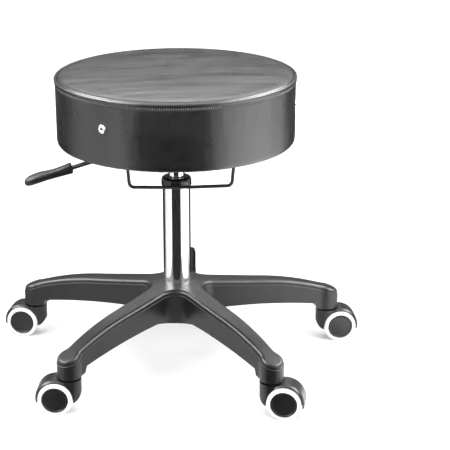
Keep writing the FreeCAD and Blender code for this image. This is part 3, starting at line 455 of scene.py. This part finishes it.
def make_studio():
    """A pale floor under soft light, with the cards that shape the reflections."""
    scene = bpy.context.scene
    scene.view_settings.view_transform = "Standard"
    world = bpy.data.worlds.new("studio")
    scene.world = world
    world.use_nodes = True
    world.node_tree.nodes["Background"].inputs["Color"].default_value = srgb("#ffffff")
    world.node_tree.nodes["Background"].inputs["Strength"].default_value = 0.85
    column, seat = (0, 0, 0.3), (0, 0, 0.5)
    soft_box("left box", (-2.2, -2.0, 1.7), column, 1.0, 1.4, 34)
    soft_box("right box", (2.3, -1.7, 1.6), column, 1.0, 1.4, 40)
    soft_box("top box", (0, -0.7, 2.9), column, 2.6, 2.2, 62)
    soft_box("back box", (0.3, 2.9, 2.35), seat, 2.6, 0.9, 18)
    sun = bpy.data.lights.new("even sky", "SUN")
    sun.energy = 0.9
    sun.angle = math.radians(120)
    sky = bpy.data.objects.new("even sky", sun)
    scene.collection.objects.link(sky)
    sheet = bmesh.new()
    bmesh.ops.create_grid(sheet, x_segments=1, y_segments=1, size=FLOOR_HALF)
    finished(sheet, "floor", FINISH["floor"])
    # The flags keep a dark stripe down the middle and along the edges of everything round and shiny,
    # and the boards beside them give it bright bands.
    near, far = (0.32, FLAG_LIFT), (4.0, FLAG_LIFT)
    reflection_card("front flag", "flag", (-133, -48), near, far, soft=(9, 9))
    reflection_card("left net", "flag", (-232, -128), (0.32, 2 * FLAG_LIFT), (4.0, 2 * FLAG_LIFT),
                    soft=(20, 30), most=0.4)
    reflection_card("back flag", "flag", (26, 178), near, far, soft=(14, 26))
    reflection_card("right board", "bounce", (-48, 20), near, far, soft=(22, 22))
    # Tall diffusers on both sides draw bright lines along rolled and rounded edges.
    low, high = (3.0, 1.2), (1.6, 3.2)
    reflection_card("left diffuser", "lamp", (146, 232), low, high, soft=(20, 20), fade=(0.3, 0.3))
    reflection_card("right diffuser", "lamp", (-34, 52), low, high, soft=(20, 20), fade=(0.3, 0.3))
    # A low flag behind darkens the far half of the seat's crown.
    reflection_card("low back flag", "flag", (38, 148), (3.2, 0.3), (3.2, 2.1), soft=(30, 30),
                    fade=(0.0, 0.75))


# ---------------------------------------------------------------- the upholstered seat
SEAT_LOW, SEAT_HIGH = (corner.z / MM for corner in (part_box("seat_cover")[0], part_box("seat_cover")[1]))
SEAT_RADIUS = (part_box("seat_cover")[1].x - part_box("seat_cover")[0].x) / 2 / MM
DRAWN_RADIUS = 209.5                    # the seat radius that the rim and seam points are given for
HEM_INNER = SEAT_RADIUS - 28            # the cover's turned-under edge, stapled to the board
BOARD_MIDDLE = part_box("seat_board")[0].z / MM + 6
SEAM_RADIUS = SEAT_RADIUS - 3.2
VENTS = [-121.9, -1.9, 118.1]           # degrees round the seat
VENT_LEVEL = (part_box("vent_eyelets")[0].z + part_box("vent_eyelets")[1].z) / 2 / MM
SEGMENTS = 480
TOP_CAP, TOP_SHARE = 4.5, 0.5           # most that the top may swell, and how much of the swelling counts
SIDE_CAP, SIDE_SHARE = 1.0, 0.3
FOLD_DEPTH, SIDE_DEPTH = 0.7, 0.35      # broad folds on top, upright creases down the side
DIMPLE_DEPTH, GATHER_DEPTH = 0.5, 0.35  # where the seam draws the top in, and along the roll
VENT_DEPTH, PLEAT_DEPTH = 1.3, 0.9      # round the vent eyelets, and in the hem underneath
PLEATS = 52
PUCKERS = 344                           # one stitch and one pucker each, all round the seam
PUCKER_DEPTH, PUCKER_LEVEL = 0.75, SEAT_HIGH - 12.2
STITCH_SIZE = Vector((0.65, 0.5, 2.5)) * MM
STITCH_LEVEL = SEAT_HIGH - 12.3


def seat_outline():
    """The cover's outline from the top's middle, out over the seams, down the side and under to the hem."""
    crown_drop = 1.6
    top = [(radius, SEAT_HIGH - crown_drop * (radius / SEAM_RADIUS) ** 4) for radius in range(6, 198, 6)]
    rim = [(199.5, -1.9), (202, -2.2), (204, -2.8), (205.2, -3.7), (205.9, -5.0), (206.2, -6.0),
           (206.7, -5.0), (207.6, -3.7), (208.9, -3.2), (210.2, -3.9), (211.1, -5.4), (211.4, -7.4),
           (211.1, -9.3), (210.3, -10.7), (209.3, -11.6), (208.7, -12.3), (208.8, -13.0), (209.2, -13.9),
           (209.5, -15.2)]
    rim = [(radius + SEAT_RADIUS - DRAWN_RADIUS, SEAT_HIGH + drop) for radius, drop in rim]
    side = [(SEAT_RADIUS, SEAT_HIGH - drop) for drop in range(18, 106, 4)]
    turn = [(0.1, 6), (-0.1, 2), (-0.8, -1.6), (-2.4, -3.8), (-5.2, -4.6), (-9, -3.8), (-14, -2.2),
            (-20, -1.0)]
    turn = [(SEAT_RADIUS + inwards, SEAT_LOW + rise) for inwards, rise in turn]
    hem = [(HEM_INNER + 1, SEAT_LOW - 0.3), (HEM_INNER, SEAT_LOW + 0.5), (HEM_INNER, SEAT_LOW + 1.6)]
    inside = [(HEM_INNER, BOARD_MIDDLE), (HEM_INNER / 2, BOARD_MIDDLE)]
    return top + rim + side + turn + hem + inside


def spun(outline, segments, poles=()):
    """Spin an outline in millimetres once round the upright axis; poles are heights that close its ends."""
    work = bmesh.new()
    points = [work.verts.new((radius * MM, 0, level * MM)) for radius, level in outline]
    edges = [work.edges.new(pair) for pair in zip(points, points[1:])]
    bmesh.ops.spin(work, geom=points + edges, axis=(0, 0, 1), cent=(0, 0, 0), angle=TAU, steps=segments,
                   use_merge=True)
    for level in poles:
        nearest = min(outline, key=lambda point: abs(point[1] - level) + point[0])[1] * MM
        ends = [edge for edge in work.edges
                if edge.is_boundary and abs(edge.verts[0].co.z - nearest) < 1e-6]
        cap = bmesh.ops.extrude_edge_only(work, edges=ends)
        ring = [thing for thing in cap["geom"] if isinstance(thing, bmesh.types.BMVert)]
        bmesh.ops.pointmerge(work, verts=ring, merge_co=(0, 0, level * MM))
    bmesh.ops.recalc_face_normals(work, faces=work.faces)
    return work


def inflated_shift():
    """Let the stuffed cover swell in a cloth simulation, and return how far each place on it moves."""
    core = [(60, SEAT_HIGH - 4), (120, SEAT_HIGH - 4), (180, SEAT_HIGH - 4), (198, SEAT_HIGH - 4.5),
            (205, SEAT_HIGH - 9), (207, SEAT_HIGH - 20), (207, SEAT_LOW + 30), (207, SEAT_LOW + 10),
            (204, SEAT_LOW + 3), (190, SEAT_LOW), (100, SEAT_LOW)]
    frames, smoothings = 20, 40
    pad = finished(spun(core, 120, poles=(SEAT_HIGH - 4, SEAT_LOW)), "swelling pad", FINISH["foam"])
    remesh = pad.modifiers.new("even mesh", "REMESH")
    remesh.mode = "VOXEL"
    remesh.voxel_size = 5 * MM
    graph = bpy.context.evaluated_depsgraph_get()
    even = bpy.data.meshes.new_from_object(pad.evaluated_get(graph))
    pad.modifiers.clear()
    pad.data = even
    before = [vertex.co.copy() for vertex in even.vertices]
    held = pad.vertex_groups.new(name="sewn")
    for vertex in even.vertices:
        radius, level = math.hypot(vertex.co.x, vertex.co.y) / MM, vertex.co.z / MM
        if level < SEAT_LOW + 8 or (radius > 200 and abs(level - (SEAT_HIGH - 8)) < 5):
            held.add([vertex.index], 1.0, "REPLACE")
    cloth = pad.modifiers.new("swell", "CLOTH")
    cloth.settings.quality = 4
    cloth.settings.use_pressure = True
    cloth.settings.uniform_pressure_force = 4
    cloth.settings.effector_weights.gravity = 0
    cloth.settings.vertex_group_mass = "sewn"
    cloth.point_cache.frame_start, cloth.point_cache.frame_end = 1, frames
    for frame_number in range(1, frames + 1):
        bpy.context.scene.frame_set(frame_number)
    swollen = pad.evaluated_get(bpy.context.evaluated_depsgraph_get()).to_mesh()
    shifts = [vertex.co - start for vertex, start in zip(swollen.vertices, before)]
    faces = [tuple(face.vertices) for face in even.polygons]
    near = [[] for _ in before]
    for edge in even.edges:
        near[edge.vertices[0]].append(edge.vertices[1])
        near[edge.vertices[1]].append(edge.vertices[0])
    for _ in range(smoothings):
        shifts = [sum((shifts[other] for other in around), shift) / (len(around) + 1)
                  for shift, around in zip(shifts, near)]
    tree = BVHTree.FromPolygons(before, faces)
    bpy.context.scene.frame_set(1)
    bpy.data.objects.remove(pad)

    def shift_at(place):
        spot, _, index, _ = tree.find_nearest(place)
        corners = faces[index]
        shares = poly_3d_calc([before[corner] for corner in corners], spot)
        return sum((shifts[corner] * share for corner, share in zip(corners, shares)), Vector())
    return shift_at


def seat_shift(shift_at, place):
    """How far a place on the plain outline moves: swelling, folds, creases, dimples and pleats."""
    radius, level = math.hypot(place.x, place.y) / MM, place.z / MM
    angle = math.atan2(place.y, place.x)
    outward = Vector((math.cos(angle), math.sin(angle), 0))
    on_top = smooth_step(level, SEAT_HIGH - 4.6, SEAT_HIGH - 2.0)
    on_side = smooth_step(level, SEAT_LOW + 2, SEAT_LOW + 14)
    on_side *= 1 - smooth_step(level, SEAT_HIGH - 22, SEAT_HIGH - 13)
    move = Vector()
    if shift_at is not None:
        swell = shift_at(place)
        rise = max(-2 * MM, min(TOP_CAP * MM, swell.z * TOP_SHARE))
        bulge = max(-1 * MM, min(SIDE_CAP * MM, swell.dot(outward) * SIDE_SHARE))
        move += Vector((0, 0, rise * on_top)) + outward * (bulge * on_side)
    # Broad folds run across the top where the skin was pulled over the foam.
    turned = Matrix.Rotation(math.radians(-12), 3, "Z") @ place
    fold = noise.noise(Vector((turned.x / 0.16, turned.y / 0.045, 3.1)))
    fold += 0.45 * noise.noise(Vector((turned.x / 0.07, turned.y / 0.02, 8.7)))
    inner = 1 - smooth_step(radius, SEAM_RADIUS - 30, SEAM_RADIUS - 2)
    move.z += FOLD_DEPTH * MM * fold * on_top * (0.35 + 0.65 * inner)
    # Short dimples where the seam draws the top panel in.
    pull = noise.noise(Vector((math.cos(angle) * 9, math.sin(angle) * 9, 1.7)))
    move.z += DIMPLE_DEPTH * MM * pull * on_top * bell(radius - (SEAM_RADIUS - 12), 9)
    # Upright creases down the side, strongest below the seam.
    crease = noise.noise(Vector((math.cos(angle) * 11, math.sin(angle) * 11, level / 90)))
    crease += 0.5 * noise.noise(Vector((math.cos(angle) * 26, math.sin(angle) * 26, level / 60)))
    near_seam = smooth_step(level, SEAT_LOW + 40, SEAT_HIGH - 20)
    move += outward * (SIDE_DEPTH * MM * crease * on_side * (0.5 + 0.8 * near_seam))
    # The roll between the seams is gathered a little unevenly.
    roll = bell(level - (SEAT_HIGH - 7), 4) * (1 - on_top)
    gather = noise.noise(Vector((math.cos(angle) * 30, math.sin(angle) * 30, 5.2)))
    move += outward * (GATHER_DEPTH * MM * gather * roll)
    # Dimples round the vent eyelets.
    for vent in VENTS:
        across = (angle - math.radians(vent) + math.pi) % TAU - math.pi
        distance = math.hypot(across * radius, level - VENT_LEVEL)
        move -= outward * (VENT_DEPTH * MM * bell(distance, 11) * on_side)
    # Pleats in the turned-under hem.
    under = 1 - smooth_step(level, SEAT_LOW - 0.5, SEAT_LOW + 3)
    under *= smooth_step(radius, HEM_INNER + 2, HEM_INNER + 8)
    under *= 1 - smooth_step(radius, SEAT_RADIUS - 8, SEAT_RADIUS - 2)
    move.z -= PLEAT_DEPTH * MM * under * max(0.0, math.sin(angle * PLEATS + 2 * pull)) ** 2
    return move


def make_seat(shift_at):
    """The sewn cover over its foam, from the crown to the hem under the board."""
    work = spun(seat_outline(), SEGMENTS, poles=(SEAT_HIGH, BOARD_MIDDLE))
    for vertex in work.verts:
        vertex.co += seat_shift(shift_at, vertex.co)
    cover = finished(work, "seat_cover_skin", FINISH["vinyl"])
    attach(cover, "seat")
    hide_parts("seat_cover", "seat_foam")


def make_gathered_seam(shift_at):
    """The stitched edge below the roll: fine upright puckers with a thread across each."""
    columns_per_pucker = 4
    edge = [(209.9, -9.3), (210.8, -10.2), (210.4, -10.9), (209.9, -11.6), (209.7, -12.4), (209.8, -13.2),
            (209.9, -14.2), (209.2, -15.4)]
    edge = [(radius + SEAT_RADIUS - DRAWN_RADIUS, SEAT_HIGH + drop) for radius, drop in edge]
    work = spun(edge, PUCKERS * columns_per_pucker)
    for vertex in work.verts:
        angle, level = math.atan2(vertex.co.y, vertex.co.x), vertex.co.z / MM
        outward = Vector((math.cos(angle), math.sin(angle), 0))
        depth = bell(level - PUCKER_LEVEL, 2.4)
        vertex.co += seat_shift(shift_at, vertex.co)
        vertex.co += outward * (PUCKER_DEPTH * MM * depth * math.cos(angle * PUCKERS))
    band = finished(work, "seat_gathered_seam", FINISH["vinyl"])
    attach(band, "seat")

    work = bmesh.new()
    for number in range(PUCKERS):
        turn = Matrix.Rotation(TAU * (number + 0.5) / PUCKERS, 3, "Z")
        before = set(work.verts)
        bmesh.ops.create_uvsphere(work, u_segments=6, v_segments=4, radius=1.0)
        stitch = [vertex for vertex in work.verts if vertex not in before]
        bmesh.ops.scale(work, verts=stitch, vec=STITCH_SIZE)
        spot = Vector(((SEAT_RADIUS + 0.15) * MM, 0, STITCH_LEVEL * MM))
        bmesh.ops.translate(work, verts=stitch, vec=spot)
        bmesh.ops.rotate(work, verts=stitch, matrix=turn)
        bmesh.ops.translate(work, verts=stitch, vec=seat_shift(shift_at, turn @ spot))
    thread = finished(work, "seat_topstitching", FINISH["thread"])
    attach(thread, "seat")


# ---------------------------------------------------------------- the lever's grip
SEAT_YAW, LEVER_SLOPE = 4.5, 17.1           # degrees
GRIP_ROOT = Vector((-185.5, 0, 366.9))      # on the lever's axis, before the seat's turn
# Distance from the root, half width, half thickness, rise, squareness: a square collar, a waist, a paddle.
GRIP_STATIONS = [
    (0, 8.8, 8.0, -0.6, 0.4), (0.6, 9.6, 8.9, -0.6, 0.4), (4, 9.8, 9.1, -0.6, 0.45),
    (14, 9.3, 8.6, -0.8, 0.55), (26, 9.2, 8.1, -1.0, 0.65), (36, 9.8, 8.0, -0.8, 0.7),
    (46, 11.4, 8.3, -0.1, 0.75), (56, 12.8, 8.9, 0.5, 0.75), (66, 13.2, 9.1, 0.4, 0.8),
    (75, 12.8, 8.9, -0.1, 0.85), (81, 11.4, 8.1, -0.7, 0.9), (85, 9.2, 6.8, -1.3, 0.95),
    (87.8, 6.2, 4.8, -1.8, 1.0), (89.0, 3.0, 2.4, -2.1, 1.0)]


def make_grip():
    """Loft the grip outwards from its collar, one ring at a time."""
    work = bmesh.new()
    count = 24
    bmesh.ops.create_circle(work, cap_ends=False, radius=1.0, segments=count)
    ring = list(work.verts)
    turns = [TAU * index / count for index in range(count)]
    rows = []
    for station in GRIP_STATIONS:
        if rows:
            made = bmesh.ops.extrude_edge_only(work, edges=[edge for edge in work.edges if edge.is_wire or
                                                            all(vert in ring for vert in edge.verts)])
            ring = [thing for thing in made["geom"] if isinstance(thing, bmesh.types.BMVert)]
            ring.sort(key=lambda vert: math.atan2(vert.co.z - rows[-1][1].z, vert.co.y - rows[-1][1].y) % TAU)
        along, half_width, half_thick, rise, power = station
        centre = Vector((-along * MM, 0, rise * MM))
        for vert, turn in zip(ring, turns):
            side, up = math.cos(turn), math.sin(turn)
            side = math.copysign(abs(side) ** power, side) * half_width
            up = math.copysign(abs(up) ** power, up) * half_thick
            vert.co = centre + Vector((0, side * MM, up * MM))
        rows.append((ring, centre))
    for ring, centre in (rows[0], rows[-1]):
        made = bmesh.ops.extrude_edge_only(work, edges=[edge for edge in work.edges if edge.is_boundary
                                                        and edge.verts[0] in ring])
        inner = [thing for thing in made["geom"] if isinstance(thing, bmesh.types.BMVert)]
        bmesh.ops.scale(work, verts=inner, vec=(1, 0.5, 0.5), space=Matrix.Translation(-centre))
        made = bmesh.ops.extrude_edge_only(work, edges=[edge for edge in work.edges if edge.is_boundary
                                                        and edge.verts[0] in inner])
        last = [thing for thing in made["geom"] if isinstance(thing, bmesh.types.BMVert)]
        bmesh.ops.pointmerge(work, verts=last, merge_co=centre)
    bmesh.ops.recalc_face_normals(work, faces=work.faces)
    lean = Matrix.Rotation(math.radians(SEAT_YAW), 4, "Z") @ Matrix.Translation(GRIP_ROOT * MM)
    lean = lean @ Matrix.Rotation(math.radians(-LEVER_SLOPE), 4, "Y")
    bmesh.ops.transform(work, matrix=lean, verts=work.verts)
    grip = finished(work, "lever_paddle_grip", FINISH["grip"])
    rounding = grip.modifiers.new("rounding", "SUBSURF")
    rounding.levels = rounding.render_levels = 2
    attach(grip, "lever")
    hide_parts("lever_grip")


make_camera()
make_studio()
dress_nodes()
make_grip()
swelling = inflated_shift()
make_seat(swelling)
make_gathered_seam(swelling)
